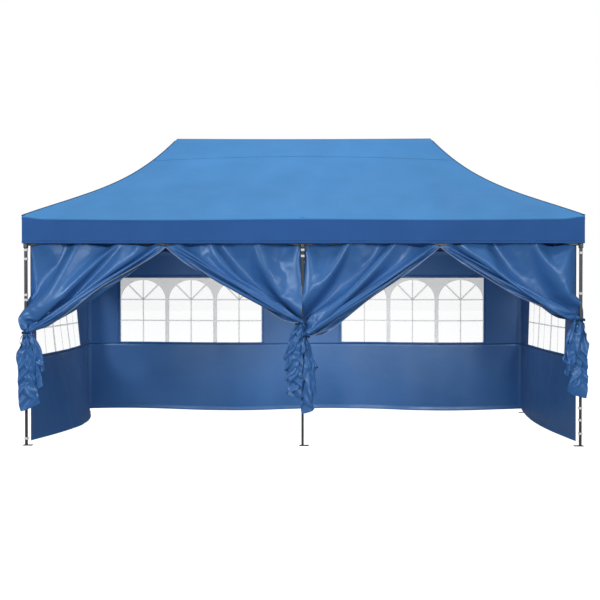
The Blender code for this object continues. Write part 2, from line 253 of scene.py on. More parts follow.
def powder_coat(name, colour, roughness):
    """Powder-coated metal: a fine orange peel, with small scuffs."""
    made, tree, shader = new_material(name)
    coords = object_coords(tree)
    scuffs = noise_over(tree, coords, Scale=60.0, Detail=6.0, Roughness=0.7)
    peel = noise_over(tree, coords, Scale=1400.0, Detail=1.0)
    plug(tree, shader, {
        "Base Color": ramp(tree, scuffs, shade(colour, 0.85), shade(colour, 1.25), (0.4, 0.75)),
        "Roughness": ramp(tree, scuffs, grey(roughness - 0.06), grey(roughness + 0.08)),
        "Normal": bumped(tree, peel, 0.15, 0.0003),
        "Metallic": 0.35,
    })
    return made


def moulded(name, colour, roughness, grain=700.0):
    """Moulded nylon or woven tape: a fine even grain."""
    made, tree, shader = new_material(name)
    speckle = noise_over(tree, object_coords(tree), Scale=grain, Detail=2.0)
    plug(tree, shader, {
        "Base Color": ramp(tree, speckle, shade(colour, 0.88), shade(colour, 1.1)),
        "Normal": bumped(tree, speckle, 0.25, 0.0005),
        "Roughness": roughness,
    })
    return made


def clear_film(name):
    """Clear PVC: mostly open, with a faint uneven gloss."""
    made, tree, shader = new_material(name)
    ripple = noise_over(tree, object_coords(tree), Scale=5.0, Detail=2.0)
    plug(tree, shader, {
        "Base Color": ramp(tree, ripple, (0.93, 0.95, 0.97), (1, 1, 1)),
        "Normal": bumped(tree, ripple, 0.2, 0.01),
        "Alpha": 0.10,
        "Roughness": 0.08,
    })
    return made


def printed(name):
    """Pale grey print on the film, thin enough to let some light through."""
    made, tree, shader = new_material(name)
    speckle = noise_over(tree, object_coords(tree), Scale=300.0, Detail=2.0)
    tone = ramp(tree, speckle, grey(0.86), grey(0.94))
    plug(tree, shader, {"Base Color": tone, "Alpha": 0.34, "Roughness": 0.5})
    return made


MATERIAL = {
    "roof": polyester("roof_polyester", BLUE_ROOF, 0.60, 0.22),
    "wall": polyester("wall_polyester", SHADED_WALL_BLUE, 0.34, 0.55),
    "seam": polyester("seam_tape", shade(SHADED_WALL_BLUE, 0.30), 0.6, 0.2),
    # The valance's darker blue is painted shade, not a different cloth.
    "valance": polyester("valance_polyester_painted_shade", SHADED_VALANCE_BLUE, 0.58, 0.15),
    "roof_seam": polyester("roof_seam_tape", shade(BLUE_ROOF, 0.80), 0.6, 0.2),
    "steel": powder_coat("leg_steel", (0.058, 0.062, 0.068), 0.42),
    "bar": powder_coat("bar_paint", (0.085, 0.088, 0.092), 0.45),
    "plastic": moulded("bracket_plastic", (0.022, 0.022, 0.024), 0.5),
    "zinc": powder_coat("zinc_fittings", (0.55, 0.56, 0.58), 0.32),
    "strap": moulded("white_strap", (0.82, 0.82, 0.80), 0.85, 900.0),
    # The zip's pale tone is partly its own colour and partly a painted highlight along the doors' edges.
    "zip": moulded("zip_tape_painted_highlight", (0.36, 0.42, 0.52), 0.6, 900.0),
    "film": clear_film("clear_film"),
    "lattice": printed("printed_lattice"),
}
# The record's material slot of each look. The rest have none.
SLOT = {
    "roof": "roof_polyester", "roof_seam": "roof_polyester",
    "wall": "wall_polyester", "seam": "wall_polyester",
    "steel": "leg_steel", "zinc": "leg_steel", "bar": "bar_paint", "plastic": "bracket_plastic",
}


# ---- mesh helpers


def mesh_object(name, verts, faces, look, smooth=True):
    mesh = bpy.data.meshes.new(name)
    mesh.from_pydata([tuple(v) for v in verts], [], faces)
    mesh.materials.append(MATERIAL[look])
    if smooth:
        mesh.shade_smooth()
    obj = bpy.data.objects.new(name, mesh)
    bpy.context.scene.collection.objects.link(obj)
    if look in SLOT:
        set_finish(obj, SLOT[look])
    return obj


def grid_faces(columns, rows, keep=lambda i, j: True):
    """Quads over points listed column by column."""
    faces = []
    for i in range(columns - 1):
        for j in range(rows - 1):
            if keep(i, j):
                a, b = i * rows + j, (i + 1) * rows + j
                faces.append((a, b, b + 1, a + 1))
    return faces


def ring_faces(rings, sides, closed=False):
    """Quads between rings of points, which are listed ring by ring."""
    faces = []
    for i in range(rings if closed else rings - 1):
        j = (i + 1) % rings
        for k in range(sides):
            m = (k + 1) % sides
            faces.append((i * sides + k, i * sides + m, j * sides + m, j * sides + k))
    return faces


def around(count):
    """The cosine and sine of evenly spaced angles round a circle."""
    return [(math.cos(2 * math.pi * k / count), math.sin(2 * math.pi * k / count)) for k in range(count)]


def tube(name, path, radius, look, sides=8, closed=False):
    """A round tube along a path, as a mesh."""
    points = [Vector(p) for p in path]
    count = len(points)
    verts = []
    across = None
    for i, point in enumerate(points):
        before = points[(i - 1) % count] if closed or i else point
        after = points[(i + 1) % count] if closed or i < count - 1 else point
        ahead = (after - before).normalized()
        if across is None:
            across = ahead.orthogonal().normalized()
        across = (across - ahead * across.dot(ahead)).normalized()
        up = ahead.cross(across)
        verts += [point + (across * cos + up * sin) * radius for cos, sin in around(sides)]
    faces = ring_faces(count, sides, closed)
    if not closed:
        faces.append(tuple(range(sides - 1, -1, -1)))
        faces.append(tuple((count - 1) * sides + k for k in range(sides)))
    return mesh_object(name, verts, faces, look)


def joined(name, objects):
    """Several objects made into the first one, which takes the name."""
    first = objects[0]
    bm = bmesh.new()
    looks = []
    for obj in objects:
        start = len(bm.faces)
        bm.from_mesh(obj.data)
        bm.faces.ensure_lookup_table()
        shift = {}
        for index, material in enumerate(obj.data.materials):
            if material not in looks:
                looks.append(material)
            shift[index] = looks.index(material)
        for face in bm.faces[start:]:
            face.material_index = shift.get(face.material_index, 0)
    mesh = bpy.data.meshes.new(name)
    bm.to_mesh(mesh)
    bm.free()
    for material in looks:
        mesh.materials.append(material)
    mesh.shade_smooth()
    slot = first.get("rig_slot")
    for obj in objects[1:]:
        bpy.data.objects.remove(obj, do_unlink=True)
    first.data = mesh
    first.name = name
    if slot:
        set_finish(first, slot)
    return first


def applied(obj):
    """The object with its modifiers made part of its mesh."""
    graph = bpy.context.evaluated_depsgraph_get()
    mesh = bpy.data.meshes.new_from_object(obj.evaluated_get(graph))
    obj.modifiers.clear()
    obj.data = mesh
    return obj


def turned(name, centre, profile, sides, look, axis=(0, 0, 1)):
    """A shape turned from its profile, listed as (radius, height) along the axis."""
    turn = Vector((0, 0, 1)).rotation_difference(Vector(axis)).to_matrix()
    verts = []
    for radius, height in profile:
        ring = [Vector((radius * cos, radius * sin, height)) for cos, sin in around(sides)]
        verts += [Vector(centre) + turn @ point for point in ring]
    return mesh_object(name, verts, ring_faces(len(profile), sides), look)


def ring_block(name, centre, half, height, hole, look):
    """A square sleeve with a square hole, its edges rounded."""
    x, y, z = centre
    outer = [(-half, -half), (half, -half), (half, half), (-half, half)]
    inner = [(-hole, -hole), (hole, -hole), (hole, hole), (-hole, hole)]
    verts, faces = [], []
    for level in (-height / 2, height / 2):
        verts += [(x + a, y + b, z + level) for a, b in outer]
        verts += [(x + a, y + b, z + level) for a, b in inner]
    for i in range(4):
        j = (i + 1) % 4
        faces += [
            (i, j, j + 8, i + 8), (j + 4, i + 4, i + 12, j + 12),
            (j, i, i + 4, j + 4), (i + 8, j + 8, j + 12, i + 12),
        ]
    obj = mesh_object(name, verts, faces, look, smooth=False)
    bevel = obj.modifiers.new("edges", "BEVEL")
    bevel.width = 0.0015
    bevel.segments = 2
    bevel.limit_method = "ANGLE"
    return obj


def wave(*terms):
    """A smooth repeatable value from three numbers, about -1 to 1."""
    return noise.noise(Vector(terms)) * 1.8


def clamped(value):
    return min(1, max(0, value))


def add_hook(obj, name, body, weights):
    """The piece's points follow that body's empty as far as their weights say."""
    group = obj.vertex_groups.new(name=name)
    for index, weight in enumerate(weights):
        if weight > 0.001:
            group.add([index], min(1, weight), "REPLACE")
    hook = obj.modifiers.new(name, "HOOK")
    hook.object = frame["bodies"][body]
    hook.vertex_group = name
    hook.falloff_type = "NONE"
    hook.matrix_inverse = Matrix.Identity(4)


def shorten(obj, leg, level=None):
    """The cloth gets shorter as that leg's lower tube slides up, so it doesn't reach below the feet.

    With a level, all of the piece moves as the cloth at that height does.
    """
    levels = [v.co.z if level is None else level for v in obj.data.vertices]
    share = [clamped((WALL_TOP - z) / WALL_HEIGHT) for z in levels]
    add_hook(obj, f"{leg}_height", f"{leg}_lower_leg", share)


# ---- roof


BAND_T = 0.175  # the seam that ends the ridge's band


def hip_sag(t):
    return t * (1 - t) * (0.90 - 0.65 * t)


def roof_surface(u, v, t):
    """A point of the roof. u and v run from -1 to 1 along the eave, t from the ridge (0) to the eave (1).

    The slopes sag from ridge to eave, most of all along the hips, and dip between the legs. They ripple a
    little, and small folds fan out from the corners.
    """
    edge = min(abs(u), abs(v))
    corner = max(0, 1 - 12 * (1 - edge))
    eave = EAVE_Z + (CORNER_Z - EAVE_Z) * corner**2 * (3 - 2 * corner)
    x = u * (PEAK_X + (ROOF_HIGH.x - PEAK_X) * t)
    y = v * ROOF_HIGH.y * t
    sag = hip_sag(t) * (0.55 + 0.45 * edge**2)
    between_legs = math.sin(math.pi * abs(u)) ** 2 if abs(v) == 1 else math.sin(math.pi * (v + 1) / 2) ** 2
    dip = 0.010 * between_legs * t**4 + 0.006 * math.cos(math.pi * u / 2) * (1 - t) ** 3
    ripple = 0.0025 * wave(x * 1.1, y * 1.3, 2.0) * math.sin(math.pi * t)
    pull = 0.004 * math.sin(18 * math.atan2(1 - abs(v), 1.0001 - abs(u) + 0.02)) * max(0, edge - 0.72) * t * 3
    return Vector((x, y, ROOF_HIGH.z + (eave - ROOF_HIGH.z) * t - sag - dip + ripple - abs(pull)))


def eave_loop():
    """The eave's points as (u, v), closer together towards the corners."""
    long = [math.sin(math.pi / 2 * (-1 + 2 * i / 110)) for i in range(110)]
    short = [math.sin(math.pi / 2 * (-1 + 2 * i / 64)) for i in range(64)]
    loop = [(u, -1) for u in long] + [(1, v) for v in short]
    loop += [(-u, 1) for u in long] + [(-1, -v) for v in short]
    return loop


def outward(u, v):
    """Straight out from the eave, and diagonally at its corners."""
    return Vector((u if abs(u) == 1 else 0, v if abs(v) == 1 else 0, 0)).normalized()


def valance_freedom(u, v):
    """How far the valance may sway: not at all at the corners, where its sides are sewn together."""
    return 1 - clamped((min(abs(u), abs(v)) - 0.9) / 0.1)


def valance_sway(p):
    return 0.006 * wave(p.x * 1.6, p.y * 1.6, 7)


def roof_cover():
    """One continuous curved sheet: slopes, a rounded eave and the valance with its hem."""
    loop = eave_loop()
    steps = [0.5 * k / 16 for k in range(1, 17)] + [0.5 + 0.5 * k / 18 for k in range(1, 18)]
    rows = [[roof_surface(u, v, t) for u, v in loop] for t in steps]
    eave = [roof_surface(u, v, 1) for u, v in loop]
    lean = [outward(u, v) for u, v in loop]
    for inward, drop in ((0.010, 0.002), (0.004, 0.005), (0.001, 0.010), (0.0, 0.018)):
        rows.append([p - d * inward - Vector((0, 0, drop)) for p, d in zip(eave, lean)])
    depth = EAVE_Z - ROOF_LOW.z
    for k in range(1, 13):
        share = k / 12
        row = []
        for p, d, (u, v) in zip(eave, lean, loop):
            free = share * valance_freedom(u, v)
            sway = valance_sway(p) * free + 0.0025 * wave(p.x * 6, p.y * 6, 3) * free
            hem = 0.0012 if share > 0.88 else 0
            z = EAVE_Z - 0.018 - (depth - 0.018) * share
            row.append(Vector((p.x, p.y, z)) + d * (sway - 0.002 + hem))
        rows.append(row)
    count = len(loop)
    verts, faces = [p for row in rows for p in row], []
    for r in range(len(rows) - 1):
        for i in range(count):
            j = (i + 1) % count
            faces.append((r * count + i, (r + 1) * count + i, (r + 1) * count + j, r * count + j))
    # The ridge closes the first ring: front and back points that share their place along it meet.
    base = len(verts)
    above = [u if abs(v) == 1 else math.copysign(1, u) for u, v in loop]
    places = sorted(set(round(a, 6) for a in above))
    index = {a: base + k for k, a in enumerate(places)}
    verts += [roof_surface(a, 0.0, 0) for a in places]
    for i in range(count):
        j = (i + 1) % count
        a, b = index[round(above[i], 6)], index[round(above[j], 6)]
        faces.append((i, j, b) if a == b else (i, j, b, a))
    roof = mesh_object("roof_cover_cloth", verts, faces, "roof")
    # The valance faces take a darker blue, painted shade.
    roof.data.materials.append(MATERIAL["valance"])
    bm = bmesh.new()
    bm.from_mesh(roof.data)
    bm.faces.ensure_lookup_table()
    for face in bm.faces[(len(steps) + 3) * count : (len(rows) - 1) * count]:
        face.material_index = 1
    bmesh.ops.recalc_face_normals(bm, faces=bm.faces)
    bm.to_mesh(roof.data)
    bm.free()
    roof.data.shade_smooth()
    return roof


def roof_seams():
    """Sewn bindings along the hips, and the band's seam either side of the ridge."""
    seams = []
    for u in (-1, 1):
        for v in (-1, 1):
            path = [roof_surface(u, v, t / 60) + Vector((0, 0, 0.0015)) for t in range(1, 61)]
            seams.append(tube("hip", path, 0.0050, "seam", 6))
    for v in (-1, 1):
        path = [roof_surface(-1 + 2 * k / 80, v, BAND_T) + Vector((0, 0, 0.0006)) for k in range(81)]
        seams.append(tube("band", path, 0.0022, "roof_seam", 6))
    for u in (-1, 1):
        path = [roof_surface(u, -1 + 2 * k / 24, BAND_T) + Vector((0, 0, 0.0006)) for k in range(25)]
        seams.append(tube("band_end", path, 0.0022, "roof_seam", 6))
    return joined("roof_seams", seams)


def valance_hem():
    """A line of stitching just above the valance's edge."""
    path = []
    for u, v in eave_loop():
        p = roof_surface(u, v, 1)
        sway = valance_sway(p) * 0.9 * valance_freedom(u, v)
        path.append(Vector((p.x, p.y, ROOF_LOW.z + 0.026)) + outward(u, v) * (sway - 0.0006))
    return tube("valance_stitching", path, 0.0012, "seam", 5, closed=True)


# ---- window walls


def spaced(low, high, count, extra):
    """Evenly spaced values with some exact ones added, none closer than a millimetre."""
    values = [low + (high - low) * k / count for k in range(count + 1)] + list(extra)
    kept = []
    for value in sorted(values, key=lambda v: (v not in extra, v)):
        if all(abs(value - other) > 0.001 for other in kept):
            kept.append(value)
    return sorted(kept)


def back_surface(s, z):
    """A point of the back walls: s is X."""
    share = (z - WALL_BOTTOM) / WALL_HEIGHT
    low = (1 - share) ** 2
    fold = 0.010 * wave(s * 2.3, 1.0, z * 0.4) * (0.35 + low)
    tension = 0.004 * wave(s * 1.1, 4.0, z * 1.4)
    sag = 0.016 * low * math.sin(s * 2.2 + 0.6)
    room = min(1, abs(s) / 0.15)
    return Vector((s, WALL_Y + (fold + tension) * room, z + sag)), Vector((0, -1, 0))


def side_surface(name):
    """The surface of an end wall, where s is Y. Its hem bellies inwards between the legs."""
    side = -1 if name == "left_wall" else 1
    bulge = BULGE[name]
    span = LEG_Y - PIVOT_OUT

    def surface(s, z):
        share = (z - WALL_BOTTOM) / WALL_HEIGHT
        u = clamped((s + span) / (2 * span))
        belly = bulge * math.sin(math.pi * u) * (1 - share) ** 2
        fold = 0.009 * wave(s * 2.1, 9.0 + side, z * 0.5) * math.sin(math.pi * u) ** 0.5
        return Vector((side * (WALL_X - belly - abs(fold)), s, z)), Vector((-side, 0, 0))

    return surface


def off_wall(surface, s, z, out):
    """A point that far off a wall's surface, along its normal."""
    point, normal = surface(s, z)
    return point + normal * out


def window_rect(name):
    middle = WINDOW_CENTRE[name]
    return middle - WINDOW_WIDTH / 2, middle + WINDOW_WIDTH / 2, WINDOW_LOW_Z, WINDOW_HIGH_Z


def relief(s, z, start, end, rect):
    """Raised hems, borders and seams of a wall, in metres."""
    left, right, low, high = rect
    near_hem = z < WALL_BOTTOM + HEM or z > WALL_TOP - HEM
    near_edge = s < start + HEM or s > end - HEM
    framed = left - BORDER < s < right + BORDER and low - BORDER < z < high + BORDER
    if abs(z - SEAM_Z) < 0.003:
        return -SEAM_GROOVE
    return DOUBLED if near_hem or near_edge or framed else 0


def window_wall(name, surface, start, end):
    """A wall of one sheet with a framed opening. Returns the cloth, the film and its printed lattice."""
    rect = window_rect(name)
    left, right, low, high = rect
    stops = [left, right, left - BORDER, right + BORDER, start + HEM, end - HEM]
    columns = spaced(start, end, 90, [v + e for v in stops for e in (-STEP, STEP)] + [left, right])
    levels = [low, high, low - BORDER, high + BORDER, WALL_BOTTOM + HEM, WALL_TOP - HEM]
    seam = [SEAM_Z - 0.004, SEAM_Z, SEAM_Z + 0.004]
    exact = [v + e for v in levels for e in (-STEP, STEP)] + [low, high] + seam
    rows = spaced(WALL_BOTTOM, WALL_TOP, 70, exact)
    verts = [off_wall(surface, s, z, relief(s, z, start, end, rect)) for s in columns for z in rows]

    def outside(i, j):
        s, z = (columns[i] + columns[i + 1]) / 2, (rows[j] + rows[j + 1]) / 2
        return not (left < s < right and low < z < high)

    cloth = mesh_object(f"{name}_cloth", verts, grid_faces(len(columns), len(rows), outside), "wall")
    film = film_sheet(name, surface, rect)
    lattice = window_lattice(name, surface, rect)
    return cloth, film, lattice


def wall_seams(name, surface, start, end):
    """Stitching along the seam under the window and round the window's frame, on both faces."""
    left, right, low, high = window_rect(name)
    edge = 0.022
    left, right, low, high = left - edge, right + edge, low - edge, high + edge
    frame_line = [(left, low), (right, low), (right, high), (left, high), (left, low)]
    seam_line = [(start + 0.01, SEAM_Z), (end - 0.01, SEAM_Z)]
    made = []
    for line, radius in ((seam_line, 0.0036), (frame_line, 0.0014)):
        for side in (0.0013, -0.0006):
            path = []
            for (s0, z0), (s1, z1) in zip(line, line[1:]):
                pieces = max(2, int(math.hypot(s1 - s0, z1 - z0) / 0.04))
                for k in range(pieces):
                    q = k / pieces
                    path.append(off_wall(surface, s0 + (s1 - s0) * q, z0 + (z1 - z0) * q, side))
            made.append(tube("stitching", path, radius, "seam", 5))
    return joined(f"{name}_stitching", made)


def film_sheet(name, surface, rect):
    """The clear film, which reaches a lap's width under the cloth round the opening."""
    left, right, low, high = rect
    lap = 0.01
    across = [left - lap + (right - left + 2 * lap) * k / 60 for k in range(61)]
    up = [low - lap + (high - low + 2 * lap) * k / 30 for k in range(31)]
    verts = [off_wall(surface, s, z, -0.0004) for s in across for z in up]
    return mesh_object(f"{name}_window", verts, grid_faces(len(across), len(up)), "film")


def lattice_strips(rect):
    """The printed pattern in the wall's plane, as quads: spandrels over the arches, posts, rails and rays."""
    left, right, low, high = rect
    middle = (left + right) / 2
    quads = []

    def bar(s0, z0, s1, z1, width):
        along = Vector((s1 - s0, z1 - z0))
        across = Vector((-along.y, along.x)).normalized() * width / 2
        pieces = max(1, int(along.length / 0.05))
        for k in range(pieces):
            a = Vector((s0, z0)) + along * k / pieces
            b = Vector((s0, z0)) + along * (k + 1) / pieces
            quads.append((a - across, b - across, b + across, a + across))

    pitch = 2 * ARCH_HALF + POST
    for arch in (-1, 0, 1):
        centre = middle + arch * pitch
        steps = 28
        for k in range(steps):
            a0, a1 = math.pi * k / steps, math.pi * (k + 1) / steps
            p0 = Vector((centre - ARCH_HALF * math.cos(a0), SPRING_Z + ARCH_RISE * math.sin(a0)))
            p1 = Vector((centre - ARCH_HALF * math.cos(a1), SPRING_Z + ARCH_RISE * math.sin(a1)))
            quads.append((p0, p1, Vector((p1.x, high)), Vector((p0.x, high))))
        bar(centre, low, centre, SPRING_Z + ARCH_RISE, MUNTIN)
        for z in (SPRING_Z, RAIL_Z):
            bar(centre - ARCH_HALF, z, centre + ARCH_HALF, z, MUNTIN)
        for turn in (math.pi / 4, 3 * math.pi / 4):
            reach = 1 / math.hypot(math.cos(turn) / ARCH_HALF, math.sin(turn) / ARCH_RISE)
            tip = (centre + reach * math.cos(turn), SPRING_Z + reach * math.sin(turn))
            bar(centre, SPRING_Z, *tip, MUNTIN * 1.15)
    for post in (-0.5, 0.5):
        bar(middle + post * pitch, low, middle + post * pitch, high, POST)
    edge = (right - left - 6 * ARCH_HALF - 2 * POST) / 2
    for s in (left + edge / 2, right - edge / 2):
        bar(s, low, s, high, edge)
    return quads


def window_lattice(name, surface, rect):
    """The printed pattern on both faces of the film."""
    verts, faces = [], []
    for face_side in (-0.0012, 0.0004):
        for quad in lattice_strips(rect):
            base = len(verts)
            verts += [off_wall(surface, *corner, face_side) for corner in quad]
            faces.append((base, base + 1, base + 2, base + 3))
    return mesh_object(f"{name}_lattice", verts, faces, "lattice")


def build_window_walls():
    """Builds the window walls. The back walls go with the back middle leg and the end walls with the back
    corner legs, and each gets shorter as its leg's lower tube slides up.
    """
    gap, far = WALL_LOW.x, WALL_HIGH.x + CORNER
    to_middle = ((1, 0, 0), (0, 0, 0), 0.09)
    to_back = ((0, 1, 0), (0, LEG_Y, 0), 0.085)
    plans = {
        "back_left_wall": (back_surface, -far, -gap, "back_middle_leg", to_middle),
        "back_right_wall": (back_surface, gap, far, "back_middle_leg", to_middle),
    }
    for name, leg in (("left_wall", "back_left_leg"), ("right_wall", "back_right_leg")):
        low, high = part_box(name)
        plans[name] = (side_surface(name), low.y, high.y + CORNER, leg, to_back)
    for name, (surface, start, end, body, (axis, anchor, keep)) in plans.items():
        cloth, film, lattice = window_wall(name, surface, start, end)
        seams = wall_seams(name, surface, start, end)
        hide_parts(name)
        for piece in (cloth, film, lattice, seams):
            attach(piece, body)
            shorten(piece, body.replace("_leg", ""))
            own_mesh(piece)


# ---- door walls


# tie: height of each tie. pull: how much of the leg's side is drawn up through it. tail: lowest point.
# out and wide: the hanging end's middle, inwards from the leg, and half its width. folds: how many it hangs
# in. front: how far it is tied in front of the other half's bunch.
DOORS = {
    "front_left_door_wall": {
        "side": -1,
        "outer": dict(tie=1.215, pull=0.12, tail=0.33, out=0.035, wide=0.180, folds=3.0, front=0.0),
        "inner": dict(tie=1.315, pull=0.20, tail=0.50, out=0.090, wide=0.110, folds=4.0, front=0.018),
    },
    "front_right_door_wall": {
        "side": 1,
        "outer": dict(tie=1.355, pull=0.25, tail=0.50, out=0.030, wide=0.150, folds=3.0, front=0.0),
        "inner": dict(tie=1.180, pull=0.12, tail=0.28, out=0.055, wide=0.115, folds=4.0, front=0.0),
    },
}
COLUMNS, ROWS = 60, 88
SIM_FRAMES = 60
GATHERED_FRAME = 34  # by then each half is drawn to its ties, and it settles from there
SOFT_HOLD = 0.30  # how strongly the hanging ends are drawn into their folds
STEP_OUT = 0.045  # share of the front's way back that the doors stay behind it, so the folded bars have room
SLACK = 1.08  # the door is cut a little wider than the space it closes, so its top hangs in scallops
HANGS_FROM_TRUSS = 0.07  # how far down the doors stay at the truss
BUNCH_Y = -LEG_Y - 0.040  # the bunches are tied in front of the legs
EDGE_STRAPS_Z = (2.0, 1.6)  # where straps hold the doors' edges to the legs above the ties
DOOR_CLOTH = {
    "vertex_group_mass": "held", "quality": 8, "mass": 0.03, "air_damping": 2.0,
    "tension_stiffness": 30, "compression_stiffness": 40, "shear_stiffness": 8, "bending_stiffness": 1.2,
    "tension_damping": 8, "shear_damping": 8, "bending_damping": 0.6,
}


def along(i):
    return i / (COLUMNS - 1)


def row_of(z):
    """The row of the flat door at that height."""
    return round((WALL_TOP - z) / WALL_HEIGHT * (ROWS - 1))


def half_rest(leg_x, zip_x):
    """The flat half door, listed column by column from the leg to the zip and top to bottom."""
    points = []
    for i in range(COLUMNS):
        for j in range(ROWS):
            z = WALL_TOP - WALL_HEIGHT * j / (ROWS - 1)
            x = leg_x + (zip_x - leg_x) * SLACK * along(i)
            points.append(Vector((x, -WALL_Y + 0.004 * wave(x * 3, 1.0, z * 3) - 0.003, z)))
    return points


def hung_place(i, leg_x, zip_x):
    """A point of the top edge where it hangs from the truss."""
    return Vector((leg_x + (zip_x - leg_x) * along(i), -WALL_Y - 0.003, WALL_TOP))


def grab_row(s, leg_x, zip_x, half):
    """The row of the gathered line at s: it falls towards the zip, whose edge then runs almost straight."""
    bunch = math.hypot(zip_x - leg_x, WALL_TOP - half["tie"], 0.08) * 1.002
    at_zip = WALL_TOP - bunch
    at_leg = half["tie"] - half["pull"]
    return row_of(at_leg + (at_zip - at_leg) * s**0.9)


def bunch_place(i, share, leg_x, inwards, half):
    """Where a gathered or hanging point is drawn to, share of the way from the tie to the tail's end.

    At the tie the cloth is in eight narrow pleats. Below it they open into a few broad folds, which lie
    one behind the other with the leg's side in front.
    """
    s = along(i)
    fine, broad = 16 * math.pi * s, 2 * math.pi * half["folds"] * s
    loose = min(1, share * 4)
    opened = math.sin(math.pi * min(1, share * 1.15) ** 0.75 * 0.62) if share > 0 else 0
    wide = 0.034 + (half["wide"] - 0.034) * opened
    out = half["out"] * min(1, share * 2) - 0.008 * (1 - loose)
    neck = (2 * s - 1) * 0.75 + 0.25 * math.sin(fine)
    tail = (2 * s - 1) * 0.25 - 0.75 * math.cos(broad)
    x = leg_x + inwards * (out + wide * (neck * (1 - loose) + tail * loose))
    layered = -0.028 + 0.045 * s + 0.008 * math.sin(broad)
    depth = 0.013 * math.cos(fine) * (1 - loose) + layered * loose
    drop = share * (half["tie"] - half["tail"])
    return Vector((x, BUNCH_Y - half["front"] + depth, half["tie"] - drop))


def held_points(rest, leg_x, zip_x, half):
    """Where points are held, as {index: place}: those that stay there, and those only drawn towards it."""
    inwards = math.copysign(1, zip_x - leg_x)
    pitch = WALL_HEIGHT / (ROWS - 1)
    firm, soft = {}, {}
    for k in range(4):
        i = round(k * (COLUMNS - 1) / 3)
        firm[i * ROWS] = hung_place(i, leg_x, zip_x)
    for i in range(COLUMNS - 3, COLUMNS):
        for j in range(3):
            drop = WALL_HEIGHT * j / (ROWS - 1)
            firm[i * ROWS + j] = hung_place(i, leg_x, zip_x) - Vector((0, 0, drop))
    upper, lower = (row_of(z) for z in EDGE_STRAPS_Z)
    firm[upper] = rest[upper]
    if abs(leg_x) > 1:
        firm[lower] = rest[lower]
    else:
        firm[lower] = Vector((leg_x * 0.2, BUNCH_Y - half["front"] / 2 + 0.018, rest[lower].z))
    full = half["tie"] - half["pull"] - WALL_BOTTOM
    for i in range(COLUMNS):
        row = grab_row(along(i), leg_x, zip_x, half)
        for j in range(row, ROWS):
            place = bunch_place(i, (j - row) * pitch / full, leg_x, inwards, half)
            (firm if j < row + 2 else soft)[i * ROWS + j] = place
    return firm, soft


def add_half(name, leg_x, zip_x, half):
    """Hangs one half from the truss, draws the gathered line to its tie, and lets the rest fall."""
    rest = half_rest(leg_x, zip_x)
    mesh = bpy.data.meshes.new(name)
    mesh.from_pydata([tuple(p) for p in rest], [], grid_faces(COLUMNS, ROWS))
    obj = bpy.data.objects.new(name, mesh)
    bpy.context.scene.collection.objects.link(obj)
    firm, soft = held_points(rest, leg_x, zip_x, half)
    held = obj.vertex_groups.new(name="held")
    held.add(list(firm), 1, "REPLACE")
    held.add(list(soft), SOFT_HOLD, "REPLACE")
    obj.shape_key_add(name="flat")
    key = obj.shape_key_add(name="gathered")
    for index, place in {**firm, **soft}.items():
        key.data[index].co = place
    key.value = 0
    key.keyframe_insert("value", frame=1)
    key.value = 1
    key.keyframe_insert("value", frame=GATHERED_FRAME)
    cloth = obj.modifiers.new("cloth", "CLOTH")
    for setting, value in DOOR_CLOTH.items():
        setattr(cloth.settings, setting, value)
    cloth.collision_settings.use_collision = False
    cloth.point_cache.frame_start = 1
    cloth.point_cache.frame_end = SIM_FRAMES
    return obj


def soften(mesh):
    """Evens out creases narrower than the cloth's real folds."""
    bm = bmesh.new()
    bm.from_mesh(mesh)
    inner = [v for v in bm.verts if not v.is_boundary]
    bmesh.ops.smooth_vert(bm, verts=inner, factor=0.5, use_axis_x=True, use_axis_y=True, use_axis_z=True)
    bm.to_mesh(mesh)
    bm.free()


def settle(objects):
    """Runs the simulation once for all halves, then keeps each result as a plain mesh."""
    scene = bpy.context.scene
    scene.frame_start, scene.frame_end = 1, SIM_FRAMES
    for step in range(1, SIM_FRAMES + 1):
        scene.frame_set(step)
    graph = bpy.context.evaluated_depsgraph_get()
    for obj in objects:
        result = bpy.data.meshes.new_from_object(obj.evaluated_get(graph))
        soften(result)
        old = obj.data
        obj.modifiers.clear()
        obj.shape_key_clear()
        obj.data = result
        obj.vertex_groups.clear()
        bpy.data.meshes.remove(old)
    scene.frame_set(1)
    for action in list(bpy.data.actions):
        bpy.data.actions.remove(action)


def zip_trims(mesh):
    """The zip's coil along the free edge, and its tape and stitching beside that. The coil and tape are pale:
    partly the zip's own colour and partly a painted highlight along the door's edge.
    """
    trims = []
    for back, first, radius, look, sides in (
        (1, 2, 0.0035, "zip", 6), (2, 3, 0.0022, "seam", 5), (3, 3, 0.0026, "zip", 5)
    ):
        line = [mesh.vertices[(COLUMNS - back) * ROWS + j].co.copy() for j in range(first, ROWS)]
        trims.append(tube("trim", line, radius, look, sides))
    return trims


def finish_half(obj):
    """Refines the cloth and gives it the wall's finish."""
    obj.data.materials.clear()
    obj.data.materials.append(MATERIAL["wall"])
    smooth = obj.modifiers.new("finer", "SUBSURF")
    smooth.levels = smooth.render_levels = 1
    applied(obj).data.shade_smooth()


